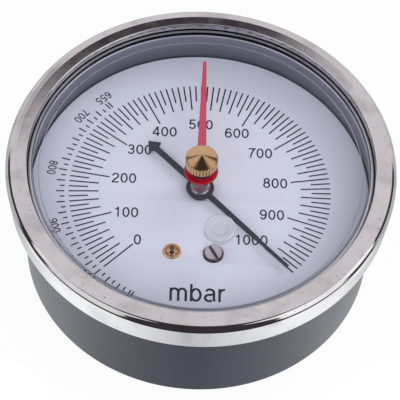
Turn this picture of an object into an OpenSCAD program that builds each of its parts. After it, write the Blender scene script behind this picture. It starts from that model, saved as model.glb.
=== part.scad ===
// Vacuum gauge, nominal size 100, back connection, with a set pointer in the window.
// Millimetres. The origin is the middle of the stem's sealing end, and +Z points out of the dial.
// The 500 mark is towards +Y and the 1000 mark towards +X and -Y.

/* [Process stem] */
// Outside diameter of the parallel pipe thread
thread_d = 20.955; // [16:0.005:26]
// Length of the thread
thread_len = 18; // [14:0.5:24]
// Diameter of the centring spigot under the thread
pilot_d = 6; // [5.5:0.1:8]
// Length of the centring spigot
pilot_len = 3; // [2:0.5:4]
// Length of the undercut between thread and hexagon
undercut_len = 2; // [1:0.5:4]
// Spanner width of the hexagon
hex_af = 22; // [22:0.5:27]
// Length of the hexagon
hex_len = 10; // [7:0.5:14]
// Thickness of the collar that seats on the case back
collar_t = 1.6; // [1:0.1:3]
// Diameter of the collar
collar_d = 26; // [25:0.5:28]
// Diameter of the pressure bore
bore_d = 3.5; // [2.5:0.1:4]
// Diameter of the neck that passes the case back
neck_d = 14; // [10:0.5:16]
// Depth that the neck enters the socket
neck_seat = 4; // [3:0.2:4.6]

/* [Case] */
// Outside diameter of the case
case_d = 100; // [96:0.5:106]
// Thickness of the case sheet
case_wall = 1.2; // [0.8:0.1:1.6]
// Outside radius of the back edge
case_edge_r = 2.5; // [2:0.1:4]
// Height of the window seat above the dial face
window_seat_h = 10.4; // [9.6:0.1:13]
// Reach of the front flange beyond the case wall
flange_reach = 3.6; // [3:0.1:5]
// Number of bayonet lugs on the bezel, and of notches in the flange
lug_count = 6; // [3:1:8]
// Diameter of the blow-out hole in the case back
vent_d = 14; // [8:0.5:16]

/* [Bezel ring] */
// Thickness of the bezel sheet
bezel_t = 0.8; // [0.6:0.05:1]
// Height of the crest above the lip's underside
bezel_rise = 2.05; // [1.9:0.05:3]
// Height of the whole ring, crest to skirt edge
bezel_h = 10.1; // [8.5:0.1:12]
// Radial gap between flange and skirt
bezel_fit = 0.9; // [0.5:0.05:1.5]
// How much the skirt narrows towards its lower edge
skirt_taper = 0.8; // [0:0.1:1]
// Radius of the outer edge
bezel_edge_r = 1.8; // [1.5:0.1:2.2]
// Angle that one bayonet lug covers
lug_angle = 12; // [8:1:16]
// How far a lug reaches under the flange
lug_reach = 2.2; // [1.5:0.1:2.6]

/* [Window] */
// Thickness of the window's middle
window_t = 2.2; // [1.8:0.1:3]
// Thickness of the window's clamped rim
window_rim_t = 1.3; // [1:0.1:1.6]
// Depth of the collar under the window
window_collar_h = 1.3; // [0.8:0.1:2]
// Thickness of the window gasket
gasket_t = 0.7; // [0.5:0.1:1.2]
// Diameter of the plug hole
plug_hole_d = 6.2; // [5:0.1:7]
// Diameter of the plug's head
plug_head_d = 8.9; // [8:0.1:11]
// Height of the plug's head
plug_head_h = 2.2; // [1.8:0.1:3]
// Diameter of the hollow in the plug's head
plug_dish_d = 4.6; // [3.5:0.1:5]
// Plug place to the right of the axis
plug_x = 5.3; // [4:0.1:7]
// Plug place below the axis
plug_y = -22.3; // [-26:0.1:-18]

/* [Set pointer] */
// Diameter of the knob
knob_d = 9.25; // [8:0.05:12]
// Height of the knurled band
knob_band_h = 3.3; // [2.5:0.1:5]
// Height of the cone on the knob
knob_cone_h = 1.7; // [1:0.1:3]
// Number of knurl teeth
knurl_count = 32; // [24:1:40]
// Depth of the knurl
knurl_depth = 0.25; // [0.15:0.05:0.4]
// Diameter of the set shaft
set_shaft_d = 3; // [2:0.1:3.6]
// Diameter of the red hub
set_hub_d = 9.66; // [8:0.1:12]
// Height of the red hub
set_hub_h = 0.65; // [0.5:0.05:1.2]
// Length of the red pointer, axis to tip
set_pointer_len = 39.3; // [36:0.1:42]
// Width of the red pointer at its hub
set_pointer_w = 2.85; // [2:0.05:3.5]
// Width of the red pointer at its tip
set_pointer_tip_w = 1; // [0.6:0.05:1.5]
// Direction that the red pointer is set to
set_angle = 89.2; // [0:0.1:180]

/* [Indicating pointer] */
// Length of the pointer, axis to tip
pointer_len = 36; // [32:0.1:37]
// Length of the pointer's tail
tail_len = 21.9; // [16:0.1:24]
// Width of the pointer's bar
pointer_w = 2; // [1.5:0.05:2.5]
// Width of the pointer's needle
needle_w = 1.1; // [0.7:0.05:1.3]
// Distance of the needle's root from the axis
needle_root = 23.1; // [18:0.1:28]
// Width over the tail's arrow head
arrow_w = 4.8; // [4:0.1:6]
// Thickness of both pointers
pointer_t = 0.5; // [0.3:0.05:0.8]
// Height of the pointer's underside above the dial face
pointer_rise = 1.7; // [1.4:0.1:2.5]
// Diameter of the pointer's round middle
pointer_eye_d = 8; // [7:0.1:9]
// Direction of the pointer at ambient pressure
rest_angle = -46.04; // [-50:0.01:-40]

/* [Dial] */
// Gap between the dial plate and the case wall
dial_fit = 0.3; // [0.3:0.05:1.5]
// Thickness of the dial plate
dial_t = 0.8; // [0.5:0.1:1.2]
// Diameter of the hole for the pointer's hub
dial_hole_d = 6.2; // [6:0.1:7]
// Brass eyelet place beside the axis
rivet_x = -7.58; // [-9:0.01:-6]
// Brass eyelet place below the axis
rivet_y = -20.81; // [-22:0.01:-20]
// Adjusting screw place beside the axis
adjuster_x = 4.07; // [3:0.01:5]
// Adjusting screw place below the axis
adjuster_y = -21.16; // [-22:0.01:-20]
// Diameter of the adjusting screw's head
adjuster_head_d = 5.4; // [5:0.1:6]
// Direction of the adjusting screw's slot
slot_angle = -61; // [-90:1:90]

/* [Movement] */
// Thickness of the two movement plates
plate_t = 1.2; // [1:0.1:1.6]
// Space between the two plates
plate_gap = 6.8; // [6.4:0.1:9]
// Space between the front plate and the dial
dial_gap = 2.7; // [2.2:0.1:4]
// Tooth module of the gear pair
gear_module = 0.35; // [0.34:0.01:0.38]
// Teeth of the pinion
pinion_teeth = 12; // [11:1:14]
// Teeth that the sector would have as a full wheel
wheel_teeth = 108; // [104:1:112]
// Teeth cut on the sector
sector_teeth = 15; // [15:1:17]
// Pressure angle of the teeth
pressure_angle = 25; // [24:0.5:26]
// Play between the teeth, along the pitch circle
gear_play = 0.06; // [0.04:0.01:0.1]
// Thickness of the sector gear
sector_t = 1.4; // [1:0.1:1.8]
// Radius of the sector's tail pin
tail_r = 9; // [7:0.1:10]
// Angle of the sector's tail at ambient pressure
tail_angle = 15.06; // [12:0.01:18]
// Diameter of the link's pins
link_pin_d = 1.4; // [1:0.1:1.6]
// Diameter of the movement's pivots
pivot_d = 1.5; // [1:0.1:1.8]

/* [Bourdon tube and socket] */
// Mean radius of the Bourdon tube
tube_r = 37; // [36:0.1:39]
// Width of the tube section, across the case
tube_w = 4; // [3:0.1:5]
// Height of the tube section, along the axis
tube_h = 8; // [6:0.1:8.6]
// Wall of the tube
tube_wall = 0.5; // [0.3:0.05:0.8]
// Distance of the link's outer pin inside the tube's mean radius
tip_pin_inset = 0.88; // [0:0.02:0.9]
// Angle of the tube's fixed end
tube_root_angle = 264; // [262:0.5:265]
// Height of the socket
socket_h = 12; // [11.5:0.1:15]
// Diameter of the socket's boss
socket_d = 31; // [30:0.5:34]
// Distance from the circle of the case screws to the foot's edge
foot_margin = 3.5; // [3:0.1:5]
// Thickness of the socket's foot
foot_t = 4; // [3:0.1:5]
// Width of the socket's arm
arm_w = 18; // [16:0.5:20]
// Thickness of the seal between socket and case
seal_t = 0.5; // [0.3:0.1:1]
// Gap between the stem's collar and the heads of the case screws
case_screw_gap = 0.9; // [0.4:0.1:1.5]
// Thread diameter of the case screws
case_screw_d = 4; // [3:0.5:4]

/* [Hidden] */
// Play of a turning pin in its hole, and of flat faces that rub
run_gap = 0.04;
rub_gap = 0.05;
// Gap between parts that are laid in each other
lay_gap = 0.3;
$fn = 96;

// Levels along the axis, from the stem's sealing end upwards
hex_z = thread_len + undercut_len;
collar_z = hex_z + hex_len;
back_z = collar_z + collar_t;
floor_z = back_z + case_wall;
socket_z = floor_z + seal_t;
socket_top = socket_z + socket_h;
carrier_top = socket_top + plate_t;
front_z = carrier_top + plate_gap;
front_top = front_z + plate_t;
dial_z = front_top + dial_gap;
face_z = dial_z + dial_t;
seat_z = face_z + window_seat_h;
window_z = seat_z + gasket_t;
window_top = window_z + window_t;
rim_top = window_z + window_rim_t;
lip_z = rim_top + rub_gap;
crest_z = lip_z + bezel_rise;
skirt_z = crest_z - bezel_h;

// Radii from the axis outwards
case_r = case_d / 2;
wall_r = case_r - case_wall;
flange_r = case_r + flange_reach;
window_r = flange_r - 1;
dial_r = wall_r - dial_fit;
head_width = 1.8;
head_height = 0.6;
case_screw_r = collar_d / 2 + case_screw_d * head_width / 2 + case_screw_gap;
foot_d = 2 * (case_screw_r + foot_margin);
vent_r = (foot_d / 2 + wall_r) / 2;
collar_r = wall_r - 1.5;
collar_in_r = collar_r - 1.1;
lip_r = collar_r + 1.1;
skirt_r = flange_r + bezel_fit + bezel_t;
flange_low = seat_z - case_wall;
lug_z = flange_low - rub_gap * 2;
lug_t = 1;
notch_angle = lug_angle + 4;
lip_round = 0.9;
lip_rise = 0.75;
crown_r = 12;

// Movement places
pitch_r = gear_module * pinion_teeth / 2;
wheel_r = gear_module * wheel_teeth / 2;
sector_x = pitch_r + wheel_r;
tooth_step = 360 / wheel_teeth;
addendum = 0.9 * gear_module;
sector_addendum = 0.8 * gear_module;
dedendum = 1.12 * gear_module;
sector_z = carrier_top + 2.5;
sector_top = sector_z + sector_t;
pinion_h = sector_t + 1;
pinion_z = sector_z - 0.5;
pinion_top = pinion_z + pinion_h;
link_t = 0.8;
link_w = 3;
link_z = sector_top + 0.2;
link_top = link_z + link_t;
pin_head_z = link_top + 0.2;
pin_head_h = 0.5;
open_pivot_play = 0.25;
tail_x = sector_x + tail_r * cos(tail_angle);
tail_y = tail_r * sin(tail_angle);
mean_tail_x = sector_x + tail_r * (1 + cos(tail_angle)) / 2;
tip_y = sqrt(pow(tube_r - tip_pin_inset, 2) - pow(mean_tail_x, 2));
link_len = tip_y - tail_y;
arbor_r = 1.2;
sector_arbor_r = 1.5;
pillar_r = 2.2;
pillar_left = -12;
pillar_right = sector_x - 2;
pillar_y = 11;
pillar_spots = [[pillar_left, 0], [pillar_right, pillar_y], [pillar_right, -pillar_y]];
plate_left = -16;
plate_right = sector_x + 4.5;
plate_half = 15.5;
plate_round = 4;
carrier_screw_x = -6;
carrier_screw_y = 11;
carrier_screw_spots = [[carrier_screw_x, carrier_screw_y], [carrier_screw_x, -carrier_screw_y]];
carrier_low = adjuster_y - 5;
carrier_left = rivet_x - 4.5;
carrier_right = adjuster_x + 5;
spring_z = pinion_top + 0.4;
spring_h = 0.8;
spring_in_r = 2.1;
spring_out_r = 7.6;
spring_turns = 4;
spring_t = 0.2;
collet_r = spring_in_r - 0.12;
stud_r = 0.6;
stud_angle = 60;

// Socket places
tube_z = socket_z + socket_h * 7 / 12;
arm_end = tube_r + tube_w / 2 + 2.5;
channel_r = 1.5;
channel_plug_len = 1.6;
boss_r = socket_d / 2;
tip_angle = 6;
tip_wall = 0.8;
tip_lead = 1.27;
tube_tip_angle = atan2(tip_y, mean_tail_x) - tip_lead;
restrictor_len = 4;

// Fixings
small_screw_d = 2.5;
screw_hole_gap = 0.1;
plate_screw_depth = 2.5;
carrier_screw_depth = 4;
vent_lip = 1.5;
vent_lip_t = 1.2;
vent_bead = 1;
rivet_r = 1.6;
adjuster_r = 1.5;
eccentric_r = 0.6;
eccentric_offset = 0.6;
eccentric_len = 2.2;
eccentric_play = 0.2;
head_seat = 0.05;
adjuster_head_h = dial_t + 0.85;
post_r = 3;
rivet_len = 2.2;
adjuster_post_r = 3.4;

// Boss of the indicating pointer, in the pointer's hole and above it
boss_low_r = 2.2;
boss_top_r = 2.9;

// Set pointer places
set_washer_t = 0.3;
set_washer_z = window_z - rub_gap - set_washer_t;
set_hub_z = set_washer_z - set_hub_h;
set_blade_z = set_hub_z - pointer_t;
knob_z = window_top + rub_gap;

// Point at a radius and an angle
function polar(r, a) = r * [cos(a), sin(a)];

// Points of an arc: centre, radius, first and last angle, number of steps
function arc(c, r, a, b, n) = [for (i = [0 : n]) c + polar(r, a + (b - a) * i / n)];

// Involute of an angle, in degrees
function involute(a) = tan(a) * 180 / PI - a;

// Half of a tooth's angle at a radius
function half_tooth(r, teeth) =
    let (pitch = gear_module * teeth / 2)
    let (base = pitch * cos(pressure_angle))
    let (here = acos(base / max(r, base)))
    90 / teeth - gear_play / 4 / pitch * 180 / PI + involute(pressure_angle) - involute(here);

// One flank of a tooth between two radii; side is -1 or 1
function flank(c, low, high, teeth, side) = [
    for (i = [0 : 6])
        let (r = low + (high - low) * i / 6)
        polar(r, c + side * half_tooth(r, teeth))
];

function reversed(points) = [for (i = [len(points) - 1 : -1 : 0]) points[i]];

// Outline of one tooth between two radii, centred on an angle
function tooth(c, low, high, teeth) = concat(
    flank(c, low, high, teeth, -1),
    reversed(flank(c, low, high, teeth, 1))
);

module at_spots(spots) {
    for (s = spots) translate(s) children();
}

module tube(outer, inner, h) {
    difference() {
        cylinder(r = outer, h = h);
        translate([0, 0, -1]) cylinder(r = inner, h = h + 2);
    }
}

// Rounded rectangle between two corners
module rounded_plate(x0, y0, x1, y1, r) {
    translate([x0 + r, y0]) square([x1 - x0 - 2 * r, y1 - y0]);
    translate([x0, y0 + r]) square([x1 - x0, y1 - y0 - 2 * r]);
    for (x = [x0 + r, x1 - r], y = [y0 + r, y1 - r]) translate([x, y]) circle(r = r);
}

// Slotted cheese-head screw, its head upwards and its shank down from z = 0
module slotted_screw(d, length, head_d, head_h, turn) {
    translate([0, 0, -length]) cylinder(d = d, h = length);
    difference() {
        union() {
            cylinder(d = head_d, h = head_h * 0.75);
            translate([0, 0, head_h * 0.75]) cylinder(d1 = head_d, d2 = head_d * 0.86, h = head_h * 0.25);
        }
        translate([0, 0, head_h * 0.78]) rotate([0, 0, turn])
            cube([head_d * 2, head_d * 0.18, head_h], center = true);
    }
}

// Slotted screw whose head follows its thread's diameter
module cheese_screw(d, length, turn) {
    slotted_screw(d, length, d * head_width, d * head_height, turn);
}

// Pressed steel cup with an outward flange at the front
module case_shape() {
    er = case_edge_r;
    ir = max(er - case_wall, 0.3);
    rotate_extrude() polygon(concat(
        [[0, back_z]],
        arc([case_r - er, back_z + er], er, -90, 0, 10),
        [[case_r, flange_low], [flange_r, flange_low], [flange_r, seat_z], [wall_r, seat_z]],
        arc([wall_r - ir, floor_z + ir], ir, 0, -90, 8),
        [[0, floor_z]]
    ));
}

module case() {
    color("dimgray") difference() {
        case_shape();
        translate([0, 0, back_z - 1]) cylinder(d = neck_d, h = case_wall + 2);
        for (i = [0 : 2]) rotate([0, 0, 90 + i * 120]) translate([case_screw_r, 0, back_z - 1])
            cylinder(d = case_screw_d + 0.4, h = case_wall + 2);
        translate([0, vent_r, back_z - 1]) cylinder(d = vent_d, h = case_wall + 2);
        for (i = [0 : lug_count - 1]) rotate([0, 0, (i + 0.5) * 360 / lug_count - notch_angle / 2])
            translate([0, 0, flange_low - 1]) rotate_extrude(angle = notch_angle)
                translate([flange_r - lug_reach, 0]) square([lug_reach + 1, case_wall + 2]);
    }
}

// Section of the bezel sheet, outside then inside
module bezel_section() {
    t = bezel_t;
    er = bezel_edge_r;
    top_r = skirt_r - er - 0.1;
    top_z = crest_z - 0.15;
    low_r = skirt_r - skirt_taper;
    polygon(concat(
        [[lip_r, lip_z], [lip_r, lip_z + lip_rise]],
        arc([lip_r + lip_round, lip_z + lip_rise], lip_round, 180, 112, 4),
        arc([(lip_r + top_r) / 2 + 0.4, crest_z - crown_r], crown_r, 96, 84.5, 6),
        arc([top_r + 0.1, top_z - er], er, 78, 0, 8),
        [[low_r, skirt_z], [low_r - t, skirt_z]],
        [[skirt_r - t, top_z - er]],
        arc([top_r + 0.1, top_z - er], er - t, 0, 78, 6),
        [[(lip_r + top_r) / 2, crest_z - t], [lip_r + 2, crest_z - t - 0.35]],
        [[lip_r + t + 0.2, lip_z + 0.5], [lip_r + t, lip_z]]
    ));
}

module bezel_ring() {
    lug_in = flange_r - lug_reach + 0.2;
    color("gainsboro") {
        rotate_extrude() bezel_section();
        for (i = [0 : lug_count - 1]) rotate([0, 0, i * 360 / lug_count - lug_angle / 2])
            translate([0, 0, lug_z - lug_t]) rotate_extrude(angle = lug_angle)
                translate([lug_in, 0]) square([skirt_r - skirt_taper * 0.6 - bezel_t / 2 - lug_in, lug_t]);
    }
}

// Moulded window: raised middle, clamped rim, collar underneath
module window() {
    color([0.85, 0.9, 0.95, 0.3]) difference() {
        rotate_extrude() polygon([
            [0, window_z], [collar_in_r, window_z], [collar_in_r, window_z - window_collar_h],
            [collar_r, window_z - window_collar_h], [collar_r, window_z], [window_r, window_z],
            [window_r, rim_top], [collar_r, rim_top], [collar_r, window_top - 0.3],
            [collar_r - 0.3, window_top], [0, window_top]
        ]);
        translate([0, 0, window_z - 1]) cylinder(r = set_shaft_d / 2 + run_gap, h = window_t + 2);
        translate([plug_x, plug_y, window_z - 1]) cylinder(d = plug_hole_d, h = window_t + 2);
    }
}

module window_gasket() {
    color("#222428") translate([0, 0, seat_z]) tube(window_r - 0.1, wall_r + 0.1, gasket_t);
}

// Push-in plug with a dished head
module window_plug() {
    r = plug_head_d / 2;
    dish = plug_dish_d / 2;
    edge = 0.9;
    dish_z = plug_head_h - 1.2;
    stem = window_t + 0.6;
    color([0.93, 0.95, 0.96, 0.8]) translate([plug_x, plug_y, window_top + rub_gap / 2]) difference() {
        union() {
            rotate_extrude() polygon(concat(
                [[0, 0], [r - 0.2, 0], [r, 0.2]],
                arc([r - edge, plug_head_h - edge], edge, 0, 90, 6),
                [[dish + 0.2, plug_head_h], [dish - 0.2, dish_z], [0, dish_z]]
            ));
            translate([0, 0, -stem]) cylinder(r = plug_hole_d / 2 - run_gap * 2, h = stem + 0.1);
        }
        translate([0, 0, -stem - 1]) cylinder(r = plug_hole_d / 2 - 1.1, h = stem + 0.6);
    }
}

// Knurled knob with a pointed top, pressed on the set shaft
module set_knob() {
    r = knob_d / 2;
    knob_h = knob_band_h + knob_cone_h;
    color("darkgoldenrod") translate([0, 0, knob_z]) difference() {
        intersection() {
            linear_extrude(knob_h + 1) polygon([
                for (i = [0 : 2 * knurl_count - 1])
                    polar(r - (i % 2) * knurl_depth, i * 180 / knurl_count)
            ]);
            rotate_extrude() polygon([
                [0, 0], [r - 0.3, 0], [r + 0.1, 0.4], [r + 0.1, knob_band_h], [0.2, knob_h], [0, knob_h]
            ]);
        }
        translate([0, 0, -1]) cylinder(d = set_shaft_d, h = knob_band_h);
    }
}

module set_shaft() {
    color("silver") translate([0, 0, set_blade_z - 0.2])
        cylinder(d = set_shaft_d, h = knob_z + knob_band_h - 1 - set_blade_z + 0.2);
}

// Spring washer that gives the set pointer its friction
module set_spring_washer() {
    color("silver") translate([0, 0, set_washer_z])
        tube(set_shaft_d / 2 + 1.8, set_shaft_d / 2 + run_gap, set_washer_t);
}

module set_hub() {
    color("firebrick") translate([0, 0, set_hub_z]) tube(set_hub_d / 2, set_shaft_d / 2, set_hub_h);
}

module set_pointer() {
    w = set_pointer_w / 2;
    tip = set_pointer_tip_w / 2;
    color("crimson") translate([0, 0, set_blade_z]) rotate([0, 0, set_angle]) difference() {
        linear_extrude(pointer_t) {
            polygon([[0, -w], [set_pointer_len - tip, -tip], [set_pointer_len - tip, tip], [0, w]]);
            translate([set_pointer_len - tip, 0]) circle(r = tip);
            circle(d = set_hub_d - 1.6);
        }
        translate([0, 0, -1]) cylinder(d = set_shaft_d, h = pointer_t + 2);
    }
}

module pointer() {
    w = pointer_w / 2;
    n = needle_w / 2;
    barb = tail_len - arrow_w * 0.6;
    color("#3c3c44") translate([0, 0, face_z + pointer_rise]) rotate([0, 0, rest_angle]) difference() {
        linear_extrude(pointer_t) {
            polygon([
                [-barb + 0.85, -w], [0, -w], [needle_root, -w * 0.8], [needle_root + 1.2, -n],
                [pointer_len, -n * 0.9], [pointer_len, n * 0.9],
                [needle_root + 1.2, n], [needle_root, w * 0.8], [0, w], [-barb + 0.85, w],
                [-barb, arrow_w / 2], [-tail_len, 0], [-barb, -arrow_w / 2]
            ]);
            circle(d = pointer_eye_d);
        }
        translate([0, 0, -1]) cylinder(r = boss_low_r, h = pointer_t + 2);
    }
}

// Steel boss that is riveted in the pointer and pressed on the arbor
module pointer_hub() {
    low = face_z + pointer_rise - 1;
    high = face_z + pointer_rise + pointer_t;
    color("lightgray") difference() {
        union() {
            translate([0, 0, low]) cylinder(r = boss_low_r, h = pointer_t + 1);
            translate([0, 0, high]) cylinder(r1 = boss_top_r, r2 = boss_top_r - 0.4, h = 0.8);
        }
        translate([0, 0, low - 1]) cylinder(d = pivot_d, h = 6);
        translate([0, 0, high + 0.3]) cylinder(r1 = 1.4, r2 = 2.2, h = 0.6);
    }
}

module dial() {
    color("ghostwhite") difference() {
        translate([0, 0, dial_z]) cylinder(r = dial_r, h = dial_t, $fn = 180);
        translate([0, 0, dial_z - 1]) {
            cylinder(d = dial_hole_d, h = dial_t + 2);
            translate([rivet_x, rivet_y]) cylinder(r = rivet_r, h = dial_t + 2);
            translate([adjuster_x, adjuster_y]) cylinder(r = adjuster_head_d / 2 + lay_gap, h = dial_t + 2);
        }
    }
}

// Brass eyelet that holds the dial on its left post
module dial_rivet() {
    color("goldenrod") translate([rivet_x, rivet_y, face_z]) difference() {
        rotate_extrude() polygon(concat(
            [[0, -dial_t - rivet_len], [rivet_r, -dial_t - rivet_len], [rivet_r, 0], [rivet_r + 1, 0]],
            arc([rivet_r + 0.6, 0.1], 0.4, 0, 90, 4),
            [[rivet_r, 0.5], [0, 0.5]]
        ));
        translate([0, 0, -dial_t - rivet_len - 1]) cylinder(r = 0.9, h = dial_t + rivet_len + 2);
        translate([0, 0, -0.7]) cylinder(r1 = 0.9, r2 = rivet_r + 0.1, h = 1.25);
    }
}

// Slotted screw whose eccentric pin reaches through the carrier plate into the socket's arm
module adjusting_screw() {
    low = socket_top + 0.1;
    head_z = dial_z + head_seat;
    color("silver") translate([adjuster_x, adjuster_y]) {
        translate([0, 0, head_z])
            slotted_screw(adjuster_r * 2, head_z - low, adjuster_head_d, adjuster_head_h, slot_angle);
        translate([eccentric_offset, 0, low - eccentric_len])
            cylinder(r = eccentric_r, h = eccentric_len + 0.5);
    }
}

// Two posts that carry the dial, riveted in the carrier plate
module dial_posts() {
    color("goldenrod") {
        translate([rivet_x, rivet_y]) difference() {
            union() {
                translate([0, 0, carrier_top]) cylinder(r = post_r, h = dial_z - carrier_top);
                translate([0, 0, socket_top]) cylinder(r = rivet_r, h = plate_t);
            }
            translate([0, 0, dial_z - rivet_len - 0.3]) cylinder(r = rivet_r, h = rivet_len + 1);
        }
        translate([adjuster_x, adjuster_y, carrier_top])
            tube(adjuster_post_r, adjuster_r + run_gap, dial_z - carrier_top);
    }
}

// Arbor with the pinion cut on it, and the long end that carries the pointer
module pinion_arbor() {
    top = face_z + pointer_rise + pointer_t + 0.7;
    color("silver") {
        translate([0, 0, socket_top + 0.2]) cylinder(d = pivot_d, h = top - socket_top - 0.2);
        translate([0, 0, carrier_top + rub_gap]) cylinder(r = arbor_r, h = plate_gap - 2 * rub_gap);
        translate([0, 0, pinion_z]) linear_extrude(pinion_h) {
            circle(r = pitch_r - dedendum);
            for (i = [0 : pinion_teeth - 1])
                polygon(concat(
                    [[0, 0]],
                    tooth(i * 360 / pinion_teeth, pitch_r - dedendum, pitch_r + addendum, pinion_teeth)
                ));
        }
    }
}

// Flat spiral between the collet and the stud
module hairspring() {
    n = spring_turns * 30;
    sweep = spring_turns * 360;
    function wind(i, side) =
        let (r = spring_in_r + (spring_out_r - spring_in_r) * i / n + side * spring_t / 2)
        polar(r, stud_angle - sweep + sweep * i / n);
    color("darkgoldenrod") translate([0, 0, spring_z]) linear_extrude(spring_h) polygon(concat(
        [for (i = [0 : n]) wind(i, 1)],
        [for (i = [n : -1 : 0]) wind(i, -1)]
    ));
}

module hairspring_collet() {
    color("goldenrod") translate([0, 0, spring_z - 0.1]) tube(collet_r, arbor_r, spring_h + 0.2);
}

module hairspring_stud() {
    r = spring_out_r + spring_t / 2 + stud_r;
    color("goldenrod") rotate([0, 0, stud_angle]) translate([r, 0, spring_z - 0.1])
        cylinder(r = stud_r, h = front_top - spring_z + 0.1);
}

// Toothed quadrant with a spoked web and the tail that the link drives
module sector_gear() {
    root = wheel_r - dedendum;
    first = 180 - 2.5 * tooth_step;
    last = first + (sector_teeth - 1) * tooth_step;
    edge = tooth_step * 0.6;
    color("goldenrod") translate([sector_x, 0, sector_z]) linear_extrude(sector_t) difference() {
        union() {
            intersection() {
                circle(r = root, $fn = 180);
                wedge(wheel_r + 5, first - edge, last + edge);
            }
            for (i = [0 : sector_teeth - 1])
                polygon(concat(
                    [[0, 0]],
                    tooth(first + i * tooth_step, root - 0.05, wheel_r + sector_addendum, wheel_teeth)
                ));
            circle(r = 3.4);
            rotate([0, 0, tail_angle]) {
                translate([0, -1.8]) square([tail_r, 3.6]);
                translate([tail_r, 0]) circle(r = 2);
            }
        }
        circle(r = sector_arbor_r);
        intersection() {
            difference() {
                circle(r = root - 3.2);
                circle(r = 5.6);
            }
            wedge(wheel_r, first + 8, last - 8);
        }
        rotate([0, 0, tail_angle]) translate([tail_r, 0]) circle(d = link_pin_d);
    }
}

// Slice of a disc between two angles, its outside square
module wedge(r, a, b) {
    polygon([[0, 0], polar(r, a), polar(r / cos((b - a) / 2), (a + b) / 2), polar(r, b)]);
}

module sector_arbor() {
    color("silver") translate([sector_x, 0]) {
        translate([0, 0, socket_top + 0.2]) cylinder(d = pivot_d, h = front_top - socket_top - 0.1);
        translate([0, 0, carrier_top + rub_gap]) cylinder(r = sector_arbor_r, h = plate_gap - 2 * rub_gap);
    }
}

module link() {
    hole = link_pin_d / 2 + open_pivot_play;
    color("lightgray") translate([tail_x, tail_y, link_z]) linear_extrude(link_t) difference() {
        union() {
            translate([-link_w / 2 + 0.4, 0]) square([link_w - 0.8, link_len]);
            circle(d = link_w);
            translate([0, link_len]) circle(d = link_w + 0.4);
        }
        circle(r = link_pin_d / 2 + run_gap);
        translate([0, link_len]) circle(r = hole);
    }
}

// Headed pin, its shank down from the head
module link_pin(low) {
    translate([0, 0, low]) cylinder(d = link_pin_d, h = pin_head_z - low);
    translate([0, 0, pin_head_z]) cylinder(d = link_pin_d + 1, h = pin_head_h);
}

module tail_pin() {
    color("silver") translate([tail_x, tail_y]) link_pin(sector_z);
}

module tip_pin() {
    color("silver") translate([mean_tail_x, tip_y]) link_pin(sector_top - 2);
}

// Movement plates
module plate_outline() {
    rounded_plate(plate_left, -plate_half, plate_right, plate_half, plate_round);
}

module carrier_plate() {
    color("darkkhaki") difference() {
        translate([0, 0, socket_top]) linear_extrude(plate_t) {
            plate_outline();
            rounded_plate(carrier_left, carrier_low, carrier_right, 0, plate_round);
        }
        translate([0, 0, socket_top - 1]) {
            cylinder(r = pivot_d / 2 + run_gap, h = plate_t + 2);
            translate([sector_x, 0]) cylinder(r = pivot_d / 2 + run_gap, h = plate_t + 2);
            at_spots(pillar_spots) cylinder(r = pillar_r - 0.8, h = plate_t + 2);
            at_spots(carrier_screw_spots) cylinder(d = small_screw_d + 2 * screw_hole_gap, h = plate_t + 2);
            translate([rivet_x, rivet_y]) cylinder(r = rivet_r, h = plate_t + 2);
            translate([adjuster_x, adjuster_y]) cylinder(r = adjuster_r + run_gap, h = plate_t + 2);
        }
    }
}

module front_plate() {
    color("darkkhaki") difference() {
        translate([0, 0, front_z]) linear_extrude(plate_t) plate_outline();
        translate([0, 0, front_z - 1]) {
            cylinder(r = pivot_d / 2 + run_gap, h = plate_t + 2);
            translate([sector_x, 0]) cylinder(r = pivot_d / 2 + run_gap, h = plate_t + 2);
            at_spots(pillar_spots) cylinder(d = small_screw_d + 2 * screw_hole_gap, h = plate_t + 2);
            rotate([0, 0, stud_angle]) translate([spring_out_r + spring_t / 2 + stud_r, 0])
                cylinder(r = stud_r, h = plate_t + 2);
        }
    }
}

module plate_pillars() {
    color("goldenrod") at_spots(pillar_spots) difference() {
        union() {
            translate([0, 0, carrier_top]) cylinder(r = pillar_r, h = plate_gap);
            translate([0, 0, socket_top]) cylinder(r = pillar_r - 0.8, h = plate_t);
        }
        translate([0, 0, front_z - plate_screw_depth - 0.5])
            cylinder(d = small_screw_d, h = plate_screw_depth + 1);
    }
}

module plate_screws() {
    color("silver") at_spots(pillar_spots) translate([0, 0, front_top])
        cheese_screw(small_screw_d, plate_t + plate_screw_depth, 30);
}

module carrier_screws() {
    color("silver") at_spots(carrier_screw_spots) translate([0, 0, carrier_top])
        cheese_screw(small_screw_d, plate_t + carrier_screw_depth, 70);
}

// Oval section of the Bourdon tube, grown by a given amount
module tube_section(grow) {
    w = tube_w / 2 + grow;
    h = tube_h / 2 + grow;
    translate([tube_r, tube_z]) {
        translate([-w, -(h - w)]) square([2 * w, 2 * (h - w)]);
        for (s = [-1, 1]) translate([0, s * (h - w)]) circle(r = w, $fn = 48);
    }
}

module bourdon_tube() {
    sweep = tube_root_angle - tube_tip_angle;
    color("darkgoldenrod") rotate([0, 0, tube_tip_angle]) rotate_extrude(angle = sweep) difference() {
        tube_section(0);
        tube_section(-tube_wall);
    }
}

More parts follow.
